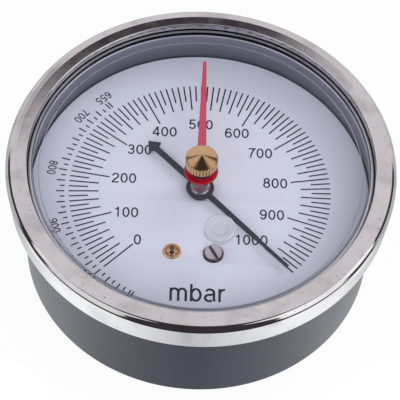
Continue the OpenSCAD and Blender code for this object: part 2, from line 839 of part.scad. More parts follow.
// End piece that closes the tube and carries the link's pin
module tube_tip() {
    low = tube_z - tube_h / 2 - tip_wall;
    high = tube_z + tube_h / 2 + tip_wall;
    reach = tube_w / 2 + tip_wall;
    color("goldenrod") difference() {
        union() {
            rotate([0, 0, tube_tip_angle - tip_angle / 2]) rotate_extrude(angle = tip_angle)
                translate([tube_r - reach, low]) square([2 * reach, high - low]);
            translate([mean_tail_x, tip_y, high - 1]) cylinder(r = 1.9, h = sector_top - high + 1);
        }
        rotate([0, 0, tube_tip_angle - 0.1]) rotate_extrude(angle = tip_angle) tube_section(run_gap);
        translate([mean_tail_x, tip_y, sector_top - 2]) cylinder(d = link_pin_d, h = 3);
    }
}

// Socket: foot on the case back, boss under the movement, arm that holds the tube
module socket() {
    side_channel = 1 - tube_r * cos(tube_root_angle);
    color("goldenrod") difference() {
        union() {
            translate([0, 0, socket_z]) cylinder(d = foot_d, h = foot_t);
            translate([0, 0, socket_z]) cylinder(r = boss_r, h = socket_h);
            translate([-arm_w / 2, -arm_end, socket_z]) cube([arm_w, arm_end, socket_h]);
        }
        translate([0, 0, socket_z - 1]) cylinder(d = neck_d, h = neck_seat + 1);
        translate([0, 0, socket_z]) cylinder(r = channel_r, h = tube_z - socket_z);
        translate([0, 1, tube_z]) rotate([90, 0, 0]) cylinder(r = channel_r, h = arm_end + 2);
        translate([0, -tube_r, tube_z]) rotate([0, -90, 0]) cylinder(r = channel_r, h = side_channel);
        rotate([0, 0, tube_root_angle - 20]) rotate_extrude(angle = 20) tube_section(0);
        for (i = [0 : 2]) rotate([0, 0, 90 + i * 120]) translate([case_screw_r, 0, socket_z - 1])
            cylinder(d = case_screw_d, h = foot_t + 0.8);
        at_spots(carrier_screw_spots) translate([0, 0, socket_top - carrier_screw_depth - 0.5])
            cylinder(d = small_screw_d, h = carrier_screw_depth + 1);
        translate([adjuster_x, adjuster_y, socket_top - eccentric_len - 0.2])
            cylinder(r = eccentric_offset + eccentric_r + eccentric_play, h = eccentric_len + 1);
    }
}

// Plug that closes the drilled channel at the arm's end
module channel_plug() {
    color("silver") translate([0, -arm_end + channel_plug_len, tube_z])
        rotate([90, 0, 0]) cylinder(r = channel_r, h = channel_plug_len);
}

module socket_seal() {
    color("#30343a") difference() {
        translate([0, 0, floor_z]) tube(foot_d / 2, neck_d / 2 + 0.1, seal_t);
        for (i = [0 : 2]) rotate([0, 0, 90 + i * 120]) translate([case_screw_r, 0, floor_z - 1])
            cylinder(d = case_screw_d + 0.4, h = seal_t + 2);
    }
}

// Stem: pilot, thread at its outside diameter, undercut, hexagon, collar, neck
module process_stem() {
    thread_r = thread_d / 2;
    color("goldenrod") difference() {
        union() {
            translate([0, 0, -pilot_len]) cylinder(d = pilot_d, h = pilot_len);
            cylinder(r = thread_r, h = thread_len);
            translate([0, 0, thread_len]) cylinder(r = thread_r - 1.5, h = undercut_len);
            intersection() {
                translate([0, 0, hex_z]) cylinder(r = hex_af / 2 / cos(30), h = hex_len, $fn = 6);
                rotate_extrude() polygon([
                    [0, hex_z], [hex_af / 2, hex_z], [hex_af / 2 + 2, hex_z + 1.2],
                    [hex_af / 2 + 2, collar_z], [0, collar_z]
                ]);
            }
            translate([0, 0, collar_z]) cylinder(d = collar_d, h = collar_t);
            translate([0, 0, back_z]) cylinder(d = neck_d, h = socket_z + neck_seat - back_z);
        }
        translate([0, 0, -pilot_len - 1]) cylinder(d = bore_d, h = socket_z + neck_seat + pilot_len + 2);
    }
}

module restrictor() {
    color("silver") translate([0, 0, -pilot_len + 0.5]) tube(bore_d / 2, 0.4, restrictor_len);
}

module case_screws() {
    shank = socket_z + foot_t - back_z - 0.4;
    color("silver") for (i = [0 : 2]) rotate([0, 0, 90 + i * 120]) translate([case_screw_r, 0, back_z])
        mirror([0, 0, 1]) cheese_screw(case_screw_d, shank, 45);
}

// Rubber plug that lets go if the tube bursts
module blowout_plug() {
    r = vent_d / 2;
    color("#26282c") translate([0, vent_r, 0]) {
        translate([0, 0, back_z - vent_lip_t]) cylinder(r = r + vent_lip, h = vent_lip_t);
        translate([0, 0, back_z]) cylinder(r = r, h = case_wall);
        translate([0, 0, floor_z]) cylinder(r1 = r + vent_bead, r2 = r, h = vent_bead);
    }
}

case();
bezel_ring();
window();
window_gasket();
window_plug();
set_knob();
set_shaft();
set_spring_washer();
set_hub();
set_pointer();
pointer();
pointer_hub();
dial();
dial_rivet();
adjusting_screw();
dial_posts();
pinion_arbor();
hairspring();
hairspring_collet();
hairspring_stud();
sector_gear();
sector_arbor();
link();
tail_pin();
tip_pin();
carrier_plate();
front_plate();
plate_pillars();
plate_screws();
carrier_screws();
bourdon_tube();
tube_tip();
socket();
channel_plug();
socket_seal();
process_stem();
restrictor();
case_screws();
blowout_plug();
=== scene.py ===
# Vacuum gauge: the looks of every surface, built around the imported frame.
# Sizes are in millimetres and angles in degrees unless a comment says otherwise.
import math

import bmesh
import bpy
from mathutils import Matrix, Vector
from mathutils.geometry import delaunay_2d_cdt, intersect_point_tri_2d, tessellate_polygon


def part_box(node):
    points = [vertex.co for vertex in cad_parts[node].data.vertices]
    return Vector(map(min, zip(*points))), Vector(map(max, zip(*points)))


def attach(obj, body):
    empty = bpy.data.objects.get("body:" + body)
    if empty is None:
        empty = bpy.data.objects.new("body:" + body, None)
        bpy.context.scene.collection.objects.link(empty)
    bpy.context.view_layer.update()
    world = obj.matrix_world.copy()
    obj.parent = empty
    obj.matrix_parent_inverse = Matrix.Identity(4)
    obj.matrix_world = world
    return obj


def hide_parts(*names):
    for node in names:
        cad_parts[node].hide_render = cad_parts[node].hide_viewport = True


MM = 0.001
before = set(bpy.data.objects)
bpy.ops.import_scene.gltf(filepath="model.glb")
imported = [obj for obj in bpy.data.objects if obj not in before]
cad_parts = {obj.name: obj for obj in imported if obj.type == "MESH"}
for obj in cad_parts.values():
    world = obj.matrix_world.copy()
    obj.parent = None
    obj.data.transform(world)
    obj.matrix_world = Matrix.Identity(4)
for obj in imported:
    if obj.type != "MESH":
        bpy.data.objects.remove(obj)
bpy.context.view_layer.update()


# Places read from the frame

def low(node):
    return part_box(node)[0] / MM


def high(node):
    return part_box(node)[1] / MM


def middle(node):
    centre = (low(node) + high(node)) / 2
    return centre.x, centre.y


FACE = high("dial").z
DIAL_R = high("dial").x
WINDOW_TOP = high("window").z
WINDOW_R = high("window").x
SEAT = high("case").z
BEZEL_TOP = high("bezel_ring").z
BEZEL_LOW = low("bezel_ring").z
BEZEL_R = high("bezel_ring").x
KNOB_LOW = low("set_knob").z
KNOB_TOP = high("set_knob").z
KNOB_R = high("set_knob").x
STEM_END = low("process_stem").z
PLUG_PLACE = middle("window_plug")
EYELET_PLACE = middle("dial_rivet")
SCREW_PLACE = middle("adjusting_screw")


# Camera, found from the dial, the case and the bezel as circles in the photo

CAMERA_PLACE = (-14.52, -405.74, 649.99)
CAMERA_TURN = (34.1988, -1.9829, 0.8384)
LENS = 225.36


def make_camera():
    camera = bpy.data.objects.new("camera", bpy.data.cameras.new("camera"))
    bpy.context.scene.collection.objects.link(camera)
    camera.data.lens = LENS
    camera.data.clip_start = 0.01
    camera.data.clip_end = 20
    camera.location = Vector(CAMERA_PLACE) * MM
    camera.rotation_euler = [math.radians(a) for a in CAMERA_TURN]
    bpy.context.scene.camera = camera


# Shader trees

def add(tree, kind, inputs=None, **settings):
    """New shader node. An input's value is a socket to link from, or a plain value."""
    node = tree.nodes.new(kind)
    for name, value in settings.items():
        setattr(node, name, value)
    for name, value in (inputs or {}).items():
        if isinstance(value, bpy.types.NodeSocket):
            tree.links.new(value, node.inputs[name])
        else:
            node.inputs[name].default_value = value
    return node


def rgba(colour):
    return (*colour, 1.0)


def new_material(name, **plain):
    """Material with a Principled shader. Plain values go on the shader's own sockets."""
    material = bpy.data.materials.new(name)
    material.use_nodes = True
    shader = material.node_tree.nodes["Principled BSDF"]
    for socket, value in plain.items():
        shader.inputs[socket.replace("_", " ")].default_value = value
    return material, material.node_tree, shader


def object_space(tree):
    return add(tree, "ShaderNodeTexCoord").outputs["Object"]


def noise(tree, scale, detail=3.0, stretch=(1, 1, 1)):
    """Noise over the object, its scale in waves per metre."""
    mapping = add(tree, "ShaderNodeMapping", {"Vector": object_space(tree), "Scale": stretch})
    made = add(tree, "ShaderNodeTexNoise", {"Vector": mapping.outputs[0], "Scale": scale, "Detail": detail})
    return made.outputs["Fac"]


def ramp(tree, value, low_value, high_value, start=0.0, end=1.0):
    """Maps a value from one range to another, clamped."""
    made = add(tree, "ShaderNodeMapRange", {
        "Value": value, "From Min": start, "From Max": end, "To Min": low_value, "To Max": high_value,
    })
    return made.outputs[0]


def calc(tree, operation, first, second=0.0):
    return add(tree, "ShaderNodeMath", {0: first, 1: second}, operation=operation).outputs[0]


def mix_colour(tree, factor, first, second):
    """Colour mix. Each colour is a tuple or a socket."""
    made = add(tree, "ShaderNodeMix", {"Factor": factor}, data_type="RGBA")
    for socket, colour in ((made.inputs[6], first), (made.inputs[7], second)):
        if isinstance(colour, bpy.types.NodeSocket):
            tree.links.new(colour, socket)
        else:
            socket.default_value = rgba(colour)
    return made.outputs[2]


def bump(tree, shader, height, strength, distance):
    """Bump on a shader, its distance in millimetres."""
    made = add(tree, "ShaderNodeBump", {"Height": height, "Strength": strength, "Distance": distance * MM})
    tree.links.new(made.outputs[0], shader.inputs["Normal"])


def metal(name, colour, worn, roughness, grain=9000, pits=0.0, stretch=(1, 1, 1), stain=0.0, shade_below=None):
    """Bare or plated metal: colour drifts towards the worn one, fine grain, and pits, stains and painted shade
    under a height where asked."""
    material, tree, shader = new_material(name, Metallic=1.0)
    drift = ramp(tree, noise(tree, 60), 0, 1, 0.35, 0.7)
    tint = mix_colour(tree, drift, colour, worn)
    fine = noise(tree, grain, 2.0, stretch)
    rough = ramp(tree, noise(tree, 240, 4.0), roughness * 0.75, roughness * 1.35, 0.3, 0.7)
    if stain:
        cloud = ramp(tree, noise(tree, 110, 8.0), 0, stain, 0.5, 0.68)
        tint = mix_colour(tree, cloud, tint, tuple(c * 0.5 for c in worn))
        rough = calc(tree, "ADD", rough, calc(tree, "MULTIPLY", cloud, 0.12))
    if pits:
        spots = ramp(tree, noise(tree, 1300, 2.0), 0, 1, 0.74 - pits, 0.80 - pits)
        tint = mix_colour(tree, spots, tint, tuple(c * 0.45 for c in worn))
        fine = calc(tree, "SUBTRACT", fine, spots)
    if shade_below:
        height = add(tree, "ShaderNodeSeparateXYZ", {0: object_space(tree)}).outputs[2]
        # painted shade: everything under the height is darkened
        tint = mix_colour(tree, calc(tree, "LESS_THAN", height, shade_below * MM), tint, (0.26, 0.20, 0.24))
    tree.links.new(tint, shader.inputs["Base Color"])
    tree.links.new(rough, shader.inputs["Roughness"])
    bump(tree, shader, fine, 0.12, 0.01)
    return material


def paint(name, colour, faded, roughness, peel=2600, strength=0.08, gloss=0.5):
    """Paint, ink or rubber: slight drift of colour and an orange-peel surface."""
    material, tree, shader = new_material(name, Specular_IOR_Level=gloss)
    drift = ramp(tree, noise(tree, 45, 4.0), 0, 1, 0.3, 0.75)
    tree.links.new(mix_colour(tree, drift, colour, faded), shader.inputs["Base Color"])
    tree.links.new(ramp(tree, noise(tree, 500), roughness * 0.85, roughness * 1.15), shader.inputs["Roughness"])
    bump(tree, shader, noise(tree, peel, 2.0), strength, 0.02)
    return material


def case_paint():
    """Dark satin paint outside the cup, and inside it a grey with painted shade: darker down towards the dial."""
    material, tree, shader = new_material(
        "case_paint", Specular_IOR_Level=0.5, Specular_Tint=rgba((0.9, 0.95, 1.0)))
    drift = ramp(tree, noise(tree, 45, 4.0), 0, 1, 0.3, 0.75)
    outside = mix_colour(tree, drift, (0.010, 0.013, 0.026), (0.015, 0.019, 0.034))
    part = add(tree, "ShaderNodeSeparateXYZ", {0: object_space(tree)})
    across = add(tree, "ShaderNodeCombineXYZ", {0: part.outputs[0], 1: part.outputs[1]}).outputs[0]
    radius = add(tree, "ShaderNodeVectorMath", {0: across}, operation="LENGTH").outputs["Value"]
    well = calc(tree, "LESS_THAN", radius, (DIAL_R + 0.6) * MM)
    # painted shade: the inside wall gets darker down towards the dial
    shade_rise = ramp(tree, part.outputs[2], 0, 1, FACE * MM, (FACE + 10) * MM)
    inside = mix_colour(tree, shade_rise, (0.06, 0.06, 0.08), (0.19, 0.19, 0.24))
    tree.links.new(mix_colour(tree, well, outside, inside), shader.inputs["Base Color"])
    tree.links.new(ramp(tree, noise(tree, 300, 4.0), 0.20, 0.28), shader.inputs["Roughness"])
    bump(tree, shader, noise(tree, 2600, 2.0), 0.08, 0.02)
    return material


MIRROR = 0.015  # what clear plastic mirrors when it is seen straight on


def clear(name, tint, roughness, haze=0.0, haze_colour=None, mirror=MIRROR):
    """Clear plastic: tinted, with more mirror at a flat angle and, where asked, a share of haze."""
    material = bpy.data.materials.new(name)
    material.use_nodes = True
    tree = material.node_tree
    tree.nodes.clear()
    through = add(tree, "ShaderNodeBsdfTransparent", {"Color": rgba(tint)}).outputs[0]
    if haze:
        back = add(tree, "ShaderNodeBsdfDiffuse", {"Color": rgba(haze_colour)}).outputs[0]
        on = add(tree, "ShaderNodeBsdfTranslucent", {"Color": rgba(haze_colour)}).outputs[0]
        smoke = add(tree, "ShaderNodeMixShader", {"Fac": 0.5, 1: back, 2: on}).outputs[0]
        through = add(tree, "ShaderNodeMixShader", {"Fac": haze, 1: through, 2: smoke}).outputs[0]
    shine = add(tree, "ShaderNodeBsdfGlossy", {"Color": rgba((1, 1, 1)), "Roughness": roughness}).outputs[0]
    facing = add(tree, "ShaderNodeLayerWeight", {"Blend": 0.5}).outputs["Facing"]
    share = ramp(tree, calc(tree, "POWER", facing, 5.0), mirror, 1.0)
    mixed = add(tree, "ShaderNodeMixShader", {"Fac": share, 1: through, 2: shine}).outputs[0]
    add(tree, "ShaderNodeOutputMaterial", {"Surface": mixed})
    return material


CASE_PAINT = case_paint()
CHROME = metal("bezel_chrome", (0.80, 0.78, 0.795), (0.73, 0.70, 0.715), 0.06, pits=0.06, stain=0.35)
CLEAR = clear("window_clear", (0.97, 0.975, 0.985), 0.03)
# painted highlight: a white haze on the rim next to the step, on the step's wall and on the collar's hem and root
CLEAR_GLINT = clear("window_painted_glint", (0.9, 0.9, 0.93), 0.12, 0.85, (0.85, 0.85, 0.92), 0.4)
# painted shade: a dark tint on the bend of the step
CLEAR_STEP_SHADE = clear("window_step_shade", (0.5, 0.5, 0.56), 0.1, 0.1, (0.5, 0.5, 0.56), 0.04)
# painted light: a grey haze on the band of the rim outside the painted highlight
CLEAR_PAINTED_BAND = clear("window_painted_band", (0.7, 0.7, 0.75), 0.12, 0.7, (0.50, 0.50, 0.57), 0.05)
# painted shade: a dark tint on the rim in the gap under the bezel's lip
CLEAR_RIM_SHADE = clear("window_rim_shade", (0.25, 0.25, 0.30), 0.12)
MILKY = clear("plug_milky", (0.84, 0.85, 0.90), 0.08, 0.75, (0.80, 0.81, 0.86), 0.05)
RUBBER = paint("seal_rubber", (0.03, 0.03, 0.034), (0.045, 0.045, 0.05), 0.75, 1800, 0.2)
BRASS = metal("knob_brass", (0.74, 0.50, 0.28), (0.62, 0.40, 0.21), 0.12)
EYELET = metal("eyelet_brass", (0.88, 0.60, 0.36), (0.74, 0.44, 0.22), 0.2)
STEEL = metal("steel", (0.66, 0.64, 0.65), (0.52, 0.49, 0.50), 0.27, stretch=(1, 1, 6))
# painted shade on the screw's slot and the side of its head
SCREW = metal("screw_steel", (0.88, 0.82, 0.84), (0.70, 0.62, 0.65), 0.34,
              shade_below=high("adjusting_screw").z - 0.12)
RED = paint("red_paint", (0.56, 0.055, 0.105), (0.60, 0.07, 0.12), 0.42, 4000, 0.04)
# painted shade: the hub has the set pointer's red paint, darkened
RED_HUB_SHADE = paint("red_hub_painted_shade", (0.36, 0.0, 0.012), (0.42, 0.0, 0.016), 0.3, 4000, 0.04)
BLACK = paint("pointer_black", (0.020, 0.021, 0.037), (0.029, 0.030, 0.049), 0.5, 4000, 0.05, 0.3)
INK = paint("dial_ink", (0.014, 0.015, 0.034), (0.02, 0.021, 0.044), 0.6, 4000, 0.02, 0.1)
WHITE = paint("dial_white", (0.74, 0.745, 0.86), (0.72, 0.725, 0.84), 0.55, 3500, 0.02)
PLATE_BRASS = metal("movement_brass", (0.72, 0.58, 0.30), (0.60, 0.46, 0.22), 0.3, stretch=(1, 8, 1))
BAR_BRASS = metal("socket_brass", (0.70, 0.55, 0.27), (0.58, 0.43, 0.20), 0.26, stretch=(1, 1, 8))
BRONZE = metal("tube_bronze", (0.62, 0.42, 0.20), (0.50, 0.31, 0.14), 0.3)


# Meshes

def make_piece(name, points, faces, materials, body, slot, nodes=(), sharp=32, choose=None):
    """Mesh piece from points in millimetres, that rides on a body and stands for CAD nodes.
    choose gives a face's material from its centre and normal."""
    mesh = bpy.data.meshes.new(name)
    mesh.from_pydata([Vector(p) * MM for p in points], [], faces)
    made = bmesh.new()
    made.from_mesh(mesh)
    bmesh.ops.remove_doubles(made, verts=made.verts[:], dist=1e-7)
    bmesh.ops.recalc_face_normals(made, faces=made.faces[:])
    for face in made.faces:
        face.smooth = True
        if choose:
            face.material_index = materials.index(choose(face.calc_center_median() / MM, face.normal))
    made.to_mesh(mesh)
    made.free()
    mesh.set_sharp_from_angle(angle=math.radians(sharp))
    for material in materials:
        mesh.materials.append(material)
    piece = bpy.data.objects.new(name, mesh)
    bpy.context.scene.collection.objects.link(piece)
    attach(piece, body)
    if nodes:
        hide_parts(*nodes)


def polar(radius, angle):
    return Vector((radius * math.cos(math.radians(angle)), radius * math.sin(math.radians(angle))))


def rounded(corners, steps=5):
    """Closed outline from corners (x, y, radius), each rounded with an arc."""
    outline = []
    for i, (x, y, radius) in enumerate(corners):
        corner = Vector((x, y))
        back = (Vector(corners[i - 1][:2]) - corner).normalized()
        ahead = (Vector(corners[(i + 1) % len(corners)][:2]) - corner).normalized()
        if not radius:
            outline.append(corner)
            continue
        half = back.angle(ahead) / 2
        centre = corner + (back + ahead).normalized() * radius / math.sin(half)
        start = corner + back * radius / math.tan(half) - centre
        end = corner + ahead * radius / math.tan(half) - centre
        turn = start.angle_signed(end)
        for k in range(steps + 1):
            a = math.atan2(start.y, start.x) - turn * k / steps
            outline.append(centre + Vector((math.cos(a), math.sin(a))) * radius)
    return outline


def braced(outline, gap=0.04):
    """The closed outline with extra points close to the ends of its long sides, so their shading stays flat."""
    points = []
    for i, here in enumerate(outline):
        after = outline[(i + 1) % len(outline)]
        points.append(here)
        if (after - here).length > 10 * gap:
            step = (after - here).normalized() * gap
            points += [here + step, after - step]
    return points


def turned(rows, centre=(0, 0), steps=192, closed=True):
    """Points and faces of a turned solid. A row is its radius and height, or a function of the angle that
    gives them."""
    points = []
    for i in range(steps):
        angle = 360 * i / steps
        for row in rows:
            radius, z = row(angle) if callable(row) else row
            x, y = polar(radius, angle)
            points.append((centre[0] + x, centre[1] + y, z))
    count = len(rows)
    faces = []
    for i in range(steps):
        here, after = i * count, (i + 1) % steps * count
        for k in range(count if closed else count - 1):
            n = (k + 1) % count
            faces.append((here + k, after + k, after + n, here + n))
    return points, faces


def clean(points, faces):
    """The faces without those that shrink to a line at the axis."""
    kept = []
    for face in faces:
        corners = []
        for i in face:
            if all((Vector(points[i]) - Vector(points[j])).length > 1e-6 for j in corners):
                corners.append(i)
        if len(corners) > 2:
            kept.append(tuple(corners))
    return points, kept


def lathe(name, rows, material, body, slot, nodes=(), centre=(0, 0), steps=192, sharp=32):
    """Turned piece of one material."""
    points, faces = clean(*turned(rows, centre, steps))
    make_piece(name, points, faces, [material], body, slot, nodes, sharp)


def inset(outline, distance):
    """The outline moved to its left by a distance, corners kept."""
    moved = []
    for i, here in enumerate(outline):
        a = (here - outline[i - 1]).normalized()
        b = (outline[(i + 1) % len(outline)] - here).normalized()
        left_a, left_b = Vector((-a.y, a.x)), Vector((-b.y, b.x))
        moved.append(here + (left_a + left_b) * distance / (1 + left_a.dot(left_b)))
    return moved


def flat_face(outlines, z, flip=False):
    """Points and triangles of a flat face at a height. The first outline runs anticlockwise, holes clockwise."""
    points = [(x, y, z) for outline in outlines for x, y in outline]
    tris = tessellate_polygon([[Vector((x, y, 0)) for x, y in outline] for outline in outlines])
    return points, [tuple(reversed(tri)) if flip else tuple(tri) for tri in tris]


def plate(outlines, bottom, top, edge):
    """Points and faces of a flat solid with rounded edges. The first outline runs anticlockwise, holes clockwise."""
    angles = [math.radians(a) for a in (0, 30, 60, 90)]
    bends = [(edge * (1 - math.sin(a)), edge * (1 - math.cos(a))) for a in angles]
    levels = [(moved, bottom + up) for moved, up in bends] + [(moved, top - up) for moved, up in reversed(bends)]
    points, faces, loops = [], [], []
    for distance, z in levels:
        loops.append([inset(outline, distance) if distance else outline for outline in outlines])
        points += [(x, y, z) for outline in loops[-1] for x, y in outline]
    count = sum(len(outline) for outline in outlines)
    for level in range(len(levels) - 1):
        start = level * count
        for outline in outlines:
            n = len(outline)
            for i in range(n):
                a, b = start + i, start + (i + 1) % n
                faces.append((a, b, b + count, a + count))
            start += n
    for loop, offset, flip in ((loops[0], 0, True), (loops[-1], (len(levels) - 1) * count, False)):
        faces += [tuple(offset + i for i in tri) for tri in flat_face(loop, 0, flip)[1]]
    return points, faces


def joined(parts):
    """One list of points and one of faces, from several pairs of them."""
    points, faces = [], []
    for more, sides in parts:
        faces += [tuple(len(points) + i for i in side) for side in sides]
        points += more
    return points, faces


def circle(radius, centre=(0, 0), steps=64, clockwise=False):
    ring = [Vector(centre) + polar(radius, 360 * i / steps) for i in range(steps)]
    return ring[::-1] if clockwise else ring


def turn(points, angle):
    """Flat points turned about the axis."""
    c, s = math.cos(math.radians(angle)), math.sin(math.radians(angle))
    return [Vector((x * c - y * s, x * s + y * c)) for x, y in points]


# Bezel ring

LIP_R = 49.1
LIP_Z = 70.45
SHEET = 0.8
SHOULDER_R = 54.2
SHOULDER_Z = 70.9
LUG_COUNT = 6
LUG_ANGLE = 12
LUG_IN = 51.6
LUG_TOP = SEAT - 1.3


def bezel():
    """Rolled section of the ring: undercut steep lip, flat top that falls a little outwards, round shoulder,
    and a skirt that narrows downwards. Bayonet lugs lie inside the skirt."""
    skirt_r = BEZEL_R - SHEET
    outside = [
        (LIP_R + 0.5, LIP_Z, 0.1), (LIP_R, LIP_Z + 0.3, 0.15), (LIP_R + 0.2, BEZEL_TOP, 0.3),
        (LIP_R + 3.1, BEZEL_TOP, 2), (SHOULDER_R, BEZEL_TOP - 0.15, 1.3), (BEZEL_R + 0.05, SHOULDER_Z, 1.6),
        (skirt_r, BEZEL_LOW, 0.25),
    ]
    inside = [
        (skirt_r - SHEET, BEZEL_LOW, 0.25), (BEZEL_R - SHEET, SHOULDER_Z - 0.3, 0.8),
        (SHOULDER_R - 0.4, BEZEL_TOP - SHEET - 0.1, 0.5), (LIP_R + 1.9, BEZEL_TOP - SHEET, 0.3),
        (LIP_R + 1.9, LIP_Z, 0.2),
    ]
    parts = [turned(braced(rounded(outside + inside, 10)), steps=256)]
    for i in range(LUG_COUNT):
        lug = [polar(r, 360 / LUG_COUNT * i + a) for r, a in lug_outline()]
        parts.append(plate([lug], LUG_TOP - 1, LUG_TOP, 0.15))
    make_piece("bezel_shell", *joined(parts), [CHROME], "root", "bezel_chrome", ["bezel_ring"], sharp=50)


def lug_outline():
    """Corners of a bayonet lug as (radius, angle), anticlockwise."""
    outer, half = BEZEL_R - 0.9, LUG_ANGLE / 2
    steps = 8
    outer_arc = [(outer, -half + LUG_ANGLE * k / steps) for k in range(steps + 1)]
    inner_arc = [(LUG_IN, half - LUG_ANGLE * k / steps) for k in range(steps + 1)]
    return outer_arc + inner_arc


# Case

CASE_R = 50
CASE_BEND = 2.5
SKIN_IN = 46.5
SKIN_DROP = 0.55


def case_rim():
    """Painted skin over the cup's side and the wide bend of its solid. It ends lower than the solid's back, in
    a tight corner, and its top is hidden under the bezel."""
    back, skin, inner = low("case").z, CASE_R + 0.02, CASE_R - 0.3
    section = rounded([
        (SKIN_IN, back + 0.3, 0), (SKIN_IN, back - SKIN_DROP, 0.3), (skin, back - SKIN_DROP, SKIN_DROP),
        (skin, LUG_TOP, 0), (inner, LUG_TOP, 0), (inner, back + CASE_BEND, 0), (CASE_R - 0.95, back + 0.95, 0),
        (CASE_R - CASE_BEND, back + 0.3, 0),
    ], 6)
    lathe("case_rim", braced(section), CASE_PAINT, "root", "case_paint", steps=256)


# Window, its plug and the gasket

PANE_R = 45
COLLAR_IN = 45.9
COLLAR_OUT = 47.8
COLLAR_LOW = low("window").z
STEP_R = 48.1
STEP_BEND = 0.6
BEND_IN = 47.45
BEND_TILT = 0.12  # a face of the bend points up more than this, a face of the step's wall less
# Radii of the rim's painted light: a painted highlight inside the first, a grey band of painted light up to the
# second, painted shade outside it.
GLINT_RIM_R = 48.45
PAINTED_BAND_R = 48.8
RIM_TOP = 70.4
PLUG_HOLE_R = 3.1


def window():
    """Moulded disc: raised middle with a bent step round it, clamped rim, collar under it, and the holes of the
    shaft and the plug. From the step outwards the rim has a painted highlight, then a grey band of painted light,
    then painted shade. The step's bend has painted shade, and its wall and the collar's hem and root have a
    painted highlight."""
    under = high("window_gasket").z
    section = rounded([
        (PANE_R, under, 0), (COLLAR_IN, under, 0.15), (COLLAR_IN, COLLAR_LOW, 0.3), (COLLAR_OUT, COLLAR_LOW, 0.3),
        (COLLAR_OUT, under, 0.25), (WINDOW_R, under, 0), (WINDOW_R, RIM_TOP, 0.2), (PAINTED_BAND_R, RIM_TOP, 0),
        (GLINT_RIM_R, RIM_TOP, 0), (STEP_R, RIM_TOP, 0.05), (STEP_R, WINDOW_TOP, STEP_BEND),
        (BEND_IN, WINDOW_TOP, 0), (PANE_R, WINDOW_TOP, 0),
    ], 6)
    holes = [((0, 0), high("set_shaft").x + 0.04), (PLUG_PLACE, PLUG_HOLE_R)]
    outlines = [circle(PANE_R, steps=256)] + [circle(radius, centre, clockwise=True) for centre, radius in holes]
    parts = [turned(section, steps=256, closed=False)]
    parts += [flat_face(outlines, z) for z in (under, WINDOW_TOP)]
    parts += [turned([(r, under), (r, WINDOW_TOP)], centre, 64, closed=False) for centre, r in holes]

    # Each face's clear plastic, with painted highlight, painted light or painted shade by where it lies on the rim,
    # the step and the collar.
    def part_of(centre, normal):
        radius = math.hypot(centre.x, centre.y)
        if radius > PAINTED_BAND_R:
            return CLEAR_RIM_SHADE
        if radius > STEP_R + 0.02 and centre.z > RIM_TOP - 0.01:
            return CLEAR_PAINTED_BAND if radius > GLINT_RIM_R else CLEAR_GLINT
        if radius > BEND_IN and centre.z > RIM_TOP - 0.01:
            return CLEAR_STEP_SHADE if normal.z > BEND_TILT else CLEAR_GLINT
        hem = radius < COLLAR_IN + 0.3 and centre.z < COLLAR_LOW + 0.3
        root = radius > COLLAR_OUT - 0.01 and under - 0.3 < centre.z < under + 0.01
        return CLEAR_GLINT if hem or root else CLEAR

    clears = [CLEAR, CLEAR_GLINT, CLEAR_RIM_SHADE, CLEAR_PAINTED_BAND, CLEAR_STEP_SHADE]
    make_piece("window_pane", *joined(parts), clears, "root", "window_clear", ["window"], sharp=50, choose=part_of)


def plug():
    """Push-in plug of milky plastic: thick head with a dish, and a hollow stem in the window's hole."""
    x, y = PLUG_PLACE
    bottom, seat, top = low("window_plug").z, WINDOW_TOP + 0.025, high("window_plug").z
    head = high("window_plug").x - x
    stem = PLUG_HOLE_R - 0.08
    section = rounded([
        (0, seat + 0.4, 0), (stem - 1.0, seat + 0.4, 0.2), (stem - 1.0, bottom, 0.15), (stem, bottom, 0.25),
        (stem, seat, 0.05), (head, seat, 0.15), (head, top - 0.25, 0.25), (head - 0.5, top, 0.3),
        (head - 0.75, top, 0.15), (head - 0.95, top - 0.3, 0.2), (2.6, top - 0.35, 0.35), (2.1, top - 1.0, 0.3),
        (0, top - 0.95, 0),
    ], 6)
    lathe("window_stopper", section, MILKY, "plug", "plug_clear", ["window_plug"], (x, y), 96)


def gasket():
    """Flat ring under the rim of the window."""
    lower, upper = low("window_gasket").z, high("window_gasket").z
    outer = high("window_gasket").x
    inner = DIAL_R + 0.4
    section = rounded([(inner, lower, 0.2), (outer, lower, 0.2), (outer, upper, 0.2), (inner, upper, 0.2)], 3)
    lathe("window_seal", section, RUBBER, "root", "seal_rubber", ["window_gasket"])


# Knob, set hub and set pointer

KNURLS = 30
KNURL_DEPTH = 0.42
BAND_H = 3.3
SET_ANGLE = 89.2
SET_TIP_W = 1.0
SET_W = 2.85


def knurl(angle):
    """Radius of the knurled band at an angle: round-topped teeth with narrow roots."""
    phase = angle * KNURLS / 360 % 1 * 2 - 1
    return KNOB_R - KNURL_DEPTH * abs(phase) ** 3


def knob():
    """Knurled band and pointed top. The cone's edge is notched by the knurl."""
    band_top = KNOB_LOW + BAND_H
    slope = (KNOB_TOP - band_top) / KNOB_R
    shaft = high("set_shaft").x - 0.02

    def band(drop, z):
        return lambda angle: (min(knurl(angle), KNOB_R - drop), z)

    def cone(share):
        return lambda angle: (knurl(angle) * share, band_top + (KNOB_R - knurl(angle) * share) * slope)

    rows = [(shaft, KNOB_LOW), band(0.45, KNOB_LOW), band(0.12, KNOB_LOW + 0.3), band(0, KNOB_LOW + 0.45)]
    rows += [band(0, KNOB_LOW + h) for h in (1.2, 2.0, 2.8)]
    rows += [lambda angle: (knurl(angle), band_top + (KNOB_R - knurl(angle)) * slope - 0.06)]
    rows += [cone(share) for share in (0.985, 0.9, 0.75, 0.6, 0.45, 0.3, 0.2, 0.12, 0.06, 0.0)]
    rows += [(0, KNOB_LOW + 1.0), (shaft, KNOB_LOW + 1.0)]
    lathe("knob", rows, BRASS, "set_hand", "knob_brass", ["set_knob"], steps=KNURLS * 10, sharp=38)


